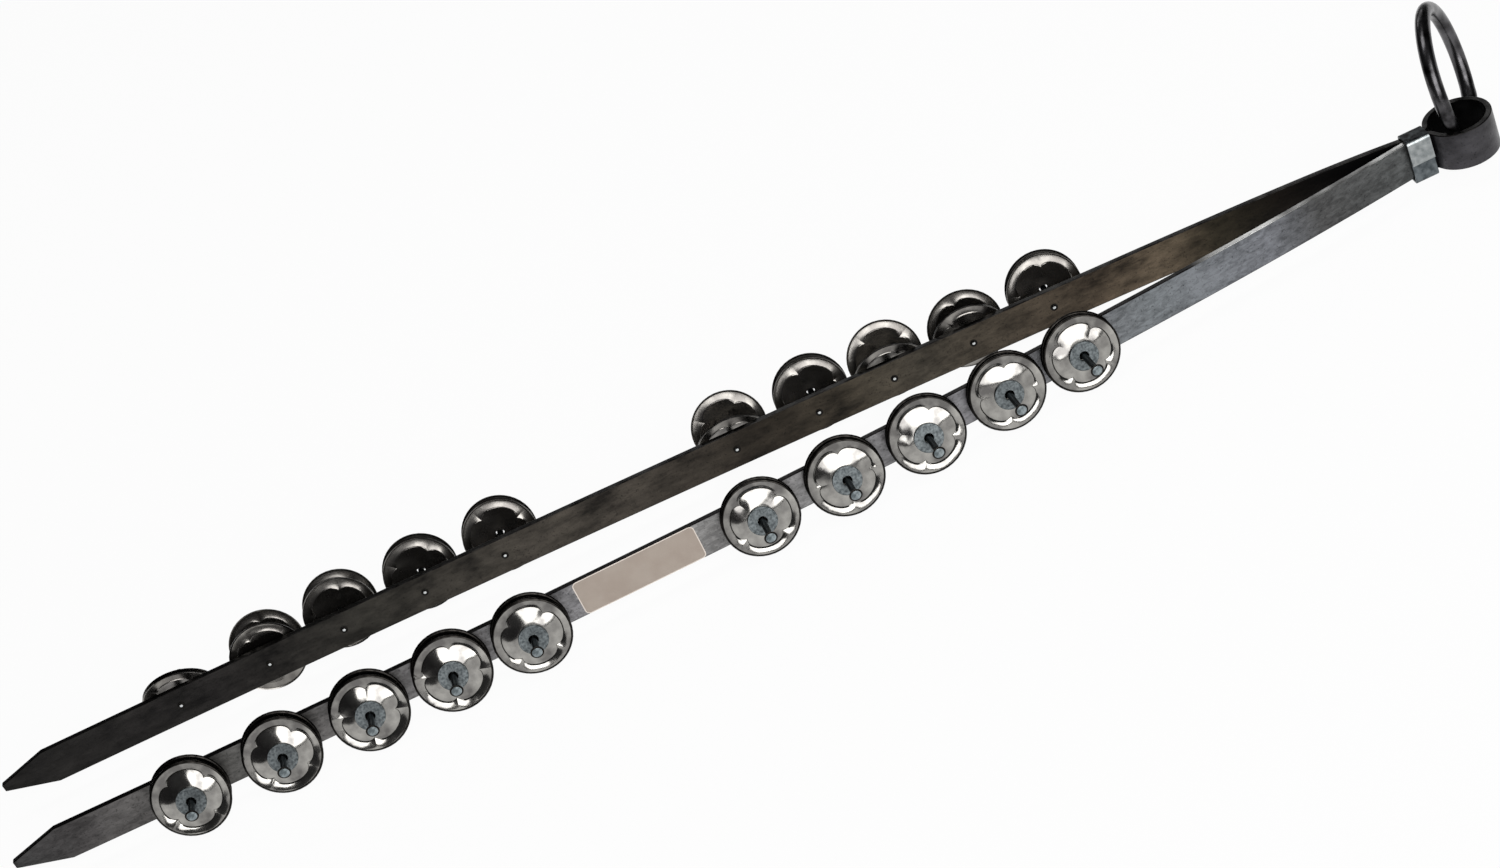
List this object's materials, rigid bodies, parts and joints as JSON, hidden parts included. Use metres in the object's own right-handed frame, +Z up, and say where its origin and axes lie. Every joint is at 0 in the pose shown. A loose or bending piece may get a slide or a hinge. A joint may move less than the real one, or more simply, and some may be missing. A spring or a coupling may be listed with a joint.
{
  "type": "chimta (jingle tongs)",
  "caption": "Iron fire-tong rattle: two sprung arms from one folded bar, an eye with a loose ring, and paired jingles on riveted nails.",
  "frame": {"origin": "middle of the neck band's flat underside", "axes": "+X along the tongs from the tips to the eye, +Z up, with the tongs standing on edge; the near arm is on -Y and the far arm on +Y"},
  "size_m": [0.814, 0.123, 0.0755],
  "materials": {
    "iron": "blackened flat iron bar, worn bright on the edges",
    "band": "dull galvanised sheet",
    "ring": "drawn steel rod, dark with bright streaks",
    "jingle": "bright nickelled pressed sheet",
    "washer": "matt zinc"
  },
  "bodies": {
    "neck": {"bow_eye": "iron", "neck_band": "band"},
    "near_arm": {"near_arm": "iron"},
    "far_arm": {"far_arm": "iron"},
    "ring": {"hanging_ring": "ring"},
    "near_jingle_01_outer": {"near_jingle_01_outer": "jingle", "near_washer_01": "washer"},
    "near_jingle_01_inner": {"near_jingle_01_inner": "jingle"},
    "near_jingle_02_outer": {"near_jingle_02_outer": "jingle", "near_washer_02": "washer"},
    "near_jingle_02_inner": {"near_jingle_02_inner": "jingle"},
    "near_jingle_03_outer": {"near_jingle_03_outer": "jingle", "near_washer_03": "washer"},
    "near_jingle_03_inner": {"near_jingle_03_inner": "jingle"},
    "near_jingle_04_outer": {"near_jingle_04_outer": "jingle", "near_washer_04": "washer"},
    "near_jingle_04_inner": {"near_jingle_04_inner": "jingle"},
    "near_jingle_05_outer": {"near_jingle_05_outer": "jingle", "near_washer_05": "washer"},
    "near_jingle_05_inner": {"near_jingle_05_inner": "jingle"},
    "near_jingle_06_outer": {"near_jingle_06_outer": "jingle", "near_washer_06": "washer"},
    "near_jingle_06_inner": {"near_jingle_06_inner": "jingle"},
    "near_jingle_07_outer": {"near_jingle_07_outer": "jingle", "near_washer_07": "washer"},
    "near_jingle_07_inner": {"near_jingle_07_inner": "jingle"},
    "near_jingle_08_outer": {"near_jingle_08_outer": "jingle", "near_washer_08": "washer"},
    "near_jingle_08_inner": {"near_jingle_08_inner": "jingle"},
    "near_jingle_09_outer": {"near_jingle_09_outer": "jingle", "near_washer_09": "washer"},
    "near_jingle_09_inner": {"near_jingle_09_inner": "jingle"},
    "near_jingle_10_outer": {"near_jingle_10_outer": "jingle", "near_washer_10": "washer"},
    "near_jingle_10_inner": {"near_jingle_10_inner": "jingle"},
    "far_jingle_01_outer": {"far_jingle_01_outer": "jingle"},
    "far_jingle_01_inner": {"far_jingle_01_inner": "jingle"},
    "far_jingle_02_outer": {"far_jingle_02_outer": "jingle"},
    "far_jingle_02_inner": {"far_jingle_02_inner": "jingle"},
    "far_jingle_03_outer": {"far_jingle_03_outer": "jingle"},
    "far_jingle_03_inner": {"far_jingle_03_inner": "jingle"},
    "far_jingle_04_outer": {"far_jingle_04_outer": "jingle"},
    "far_jingle_04_inner": {"far_jingle_04_inner": "jingle"},
    "far_jingle_05_outer": {"far_jingle_05_outer": "jingle"},
    "far_jingle_05_inner": {"far_jingle_05_inner": "jingle"},
    "far_jingle_06_outer": {"far_jingle_06_outer": "jingle"},
    "far_jingle_06_inner": {"far_jingle_06_inner": "jingle"},
    "far_jingle_07_outer": {"far_jingle_07_outer": "jingle"},
    "far_jingle_07_inner": {"far_jingle_07_inner": "jingle"},
    "far_jingle_08_outer": {"far_jingle_08_outer": "jingle"},
    "far_jingle_08_inner": {"far_jingle_08_inner": "jingle"},
    "far_jingle_09_outer": {"far_jingle_09_outer": "jingle"},
    "far_jingle_09_inner": {"far_jingle_09_inner": "jingle"},
    "far_jingle_10_outer": {"far_jingle_10_outer": "jingle"},
    "far_jingle_10_inner": {"far_jingle_10_inner": "jingle"}
  },
  "joints": [
    {"name": "near_arm_flex", "type": "hinge", "parent": "neck", "child": "near_arm", "pos_m": [0, -0.00195, 0.0132], "axis": [0, 0, -1], "range_deg": [-2, 2.7], "stiffness_Nm_per_rad": 60},
    {"name": "far_arm_flex", "type": "hinge", "parent": "neck", "child": "far_arm", "pos_m": [0, 0.00195, 0.0132], "axis": [0, 0, 1], "range_deg": [-2, 1.85], "stiffness_Nm_per_rad": 60},
    {"name": "ring_swing", "type": "hinge", "parent": "neck", "child": "ring", "pos_m": [0.02981, 0.01363, 0.0132], "axis": [-0.8836, 0.4502, -0.1288], "range_deg": [0, 128]},
    {"name": "near_jingle_01_outer_slide", "type": "slide", "parent": "near_arm", "child": "near_jingle_01_outer", "axis": [0.0846, -0.9964, 0], "range_m": [-0.00018, 0.01365]},
    {"name": "near_jingle_01_inner_slide", "type": "slide", "parent": "near_arm", "child": "near_jingle_01_inner", "axis": [0.0846, -0.9964, 0], "range_m": [-0.00075, 0.00018]},
    {"name": "near_jingle_02_outer_slide", "type": "slide", "parent": "near_arm", "child": "near_jingle_02_outer", "axis": [0.0715, -0.9974, 0], "range_m": [-0.00018, 0.01395]},
    {"name": "near_jingle_02_inner_slide", "type": "slide", "parent": "near_arm", "child": "near_jingle_02_inner", "axis": [0.0715, -0.9974, 0], "range_m": [-0.00035, 0.00018]},
    {"name": "near_jingle_03_outer_slide", "type": "slide", "parent": "near_arm", "child": "near_jingle_03_outer", "axis": [0.0591, -0.9983, 0], "range_m": [-0.00027, 0.01255]},
    {"name": "near_jingle_03_inner_slide", "type": "slide", "parent": "near_arm", "child": "near_jingle_03_inner", "axis": [0.0591, -0.9983, 0], "range_m": [-0.00065, 0.00027]},
    {"name": "near_jingle_04_outer_slide", "type": "slide", "parent": "near_arm", "child": "near_jingle_04_outer", "axis": [0.0484, -0.9988, 0], "range_m": [-0.00054, 0.01185]},
    {"name": "near_jingle_04_inner_slide", "type": "slide", "parent": "near_arm", "child": "near_jingle_04_inner", "axis": [0.0484, -0.9988, 0], "range_m": [-0.00085, 0.00054]},
    {"name": "near_jingle_05_outer_slide", "type": "slide", "parent": "near_arm", "child": "near_jingle_05_outer", "axis": [0.0388, -0.9992, 0], "range_m": [-0.00013, 0.01335]},
    {"name": "near_jingle_05_inner_slide", "type": "slide", "parent": "near_arm", "child": "near_jingle_05_inner", "axis": [0.0388, -0.9992, 0], "range_m": [-0.00075, 0.00013]},
    {"name": "near_jingle_06_outer_slide", "type": "slide", "parent": "near_arm", "child": "near_jingle_06_outer", "axis": [0.0172, -0.9999, 0], "range_m": [-0.00114, 0.00875]},
    {"name": "near_jingle_06_inner_slide", "type": "slide", "parent": "near_arm", "child": "near_jingle_06_inner", "axis": [0.0172, -0.9999, 0], "range_m": [-0.00365, 0.00114]},
    {"name": "near_jingle_07_outer_slide", "type": "slide", "parent": "near_arm", "child": "near_jingle_07_outer", "axis": [0.0109, -0.9999, 0], "range_m": [-0.00105, 0.00995]},
    {"name": "near_jingle_07_inner_slide", "type": "slide", "parent": "near_arm", "child": "near_jingle_07_inner", "axis": [0.0109, -0.9999, 0], "range_m": [-0.00115, 0.00105]},
    {"name": "near_jingle_08_outer_slide", "type": "slide", "parent": "near_arm", "child": "near_jingle_08_outer", "axis": [0.0048, -1, 0], "range_m": [-0.00105, 0.00975]},
    {"name": "near_jingle_08_inner_slide", "type": "slide", "parent": "near_arm", "child": "near_jingle_08_inner", "axis": [0.0048, -1, 0], "range_m": [-0.00135, 0.00105]},
    {"name": "near_jingle_09_outer_slide", "type": "slide", "parent": "near_arm", "child": "near_jingle_09_outer", "axis": [-0.0013, -1, 0], "range_m": [-0.001, 0.00915]},
    {"name": "near_jingle_09_inner_slide", "type": "slide", "parent": "near_arm", "child": "near_jingle_09_inner", "axis": [-0.0013, -1, 0], "range_m": [-0.00265, 0.001]},
    {"name": "near_jingle_10_outer_slide", "type": "slide", "parent": "near_arm", "child": "near_jingle_10_outer", "axis": [-0.0073, -1, 0], "range_m": [-0.00114, 0.00855]},
    {"name": "near_jingle_10_inner_slide", "type": "slide", "parent": "near_arm", "child": "near_jingle_10_inner", "axis": [-0.0073, -1, 0], "range_m": [-0.00295, 0.00114]},
    {"name": "far_jingle_01_outer_slide", "type": "slide", "parent": "far_arm", "child": "far_jingle_01_outer", "axis": [0.0444, 0.999, 0], "range_m": [-0.00041, 0.00285]},
    {"name": "far_jingle_01_inner_slide", "type": "slide", "parent": "far_arm", "child": "far_jingle_01_inner", "axis": [0.0444, 0.999, 0], "range_m": [-0.01025, 0.00041]},
    {"name": "far_jingle_02_outer_slide", "type": "slide", "parent": "far_arm", "child": "far_jingle_02_outer", "axis": [0.0402, 0.9992, 0], "range_m": [-0.00096, 0.00775]},
    {"name": "far_jingle_02_inner_slide", "type": "slide", "parent": "far_arm", "child": "far_jingle_02_inner", "axis": [0.0402, 0.9992, 0], "range_m": [-0.00105, 0.00096]},
    {"name": "far_jingle_03_outer_slide", "type": "slide", "parent": "far_arm", "child": "far_jingle_03_outer", "axis": [0.0366, 0.9993, 0], "range_m": [-0.00077, 0.00175]},
    {"name": "far_jingle_03_inner_slide", "type": "slide", "parent": "far_arm", "child": "far_jingle_03_inner", "axis": [0.0366, 0.9993, 0], "range_m": [-0.00035, 0.00077]},
    {"name": "far_jingle_04_outer_slide", "type": "slide", "parent": "far_arm", "child": "far_jingle_04_outer", "axis": [0.0333, 0.9994, 0], "range_m": [-0.00054, 0.00215]},
    {"name": "far_jingle_04_inner_slide", "type": "slide", "parent": "far_arm", "child": "far_jingle_04_inner", "axis": [0.0333, 0.9994, 0], "range_m": [-0.01095, 0.00054]},
    {"name": "far_jingle_05_outer_slide", "type": "slide", "parent": "far_arm", "child": "far_jingle_05_outer", "axis": [0.0297, 0.9996, 0], "range_m": [-0.00027, 0.00175]},
    {"name": "far_jingle_05_inner_slide", "type": "slide", "parent": "far_arm", "child": "far_jingle_05_inner", "axis": [0.0297, 0.9996, 0], "range_m": [-0.00025, 0.00027]},
    {"name": "far_jingle_06_outer_slide", "type": "slide", "parent": "far_arm", "child": "far_jingle_06_outer", "axis": [0.0196, 0.9998, 0], "range_m": [-0.00059, 0.00205]},
    {"name": "far_jingle_06_inner_slide", "type": "slide", "parent": "far_arm", "child": "far_jingle_06_inner", "axis": [0.0196, 0.9998, 0], "range_m": [-0.01075, 0.00059]},
    {"name": "far_jingle_07_outer_slide", "type": "slide", "parent": "far_arm", "child": "far_jingle_07_outer", "axis": [0.0161, 0.9999, 0], "range_m": [-0.00068, 0.00355]},
    {"name": "far_jingle_07_inner_slide", "type": "slide", "parent": "far_arm", "child": "far_jingle_07_inner", "axis": [0.0161, 0.9999, 0], "range_m": [-0.00985, 0.00068]},
    {"name": "far_jingle_08_outer_slide", "type": "slide", "parent": "far_arm", "child": "far_jingle_08_outer", "axis": [0.0125, 0.9999, 0], "range_m": [-0.00179, 0.00195]},
    {"name": "far_jingle_08_inner_slide", "type": "slide", "parent": "far_arm", "child": "far_jingle_08_inner", "axis": [0.0125, 0.9999, 0], "range_m": [-0.00815, 0.00179]},
    {"name": "far_jingle_09_outer_slide", "type": "slide", "parent": "far_arm", "child": "far_jingle_09_outer", "axis": [0.0092, 1, 0], "range_m": [-0.00386, 0.00675]},
    {"name": "far_jingle_09_inner_slide", "type": "slide", "parent": "far_arm", "child": "far_jingle_09_inner", "axis": [0.0092, 1, 0], "range_m": [-0.00075, 0.00386]},
    {"name": "far_jingle_10_outer_slide", "type": "slide", "parent": "far_arm", "child": "far_jingle_10_outer", "axis": [0.0053, 1, 0], "range_m": [-0.00027, 0.01155]},
    {"name": "far_jingle_10_inner_slide", "type": "slide", "parent": "far_arm", "child": "far_jingle_10_inner", "axis": [0.0053, 1, 0], "range_m": [-0.00075, 0.00027]}
  ]
}
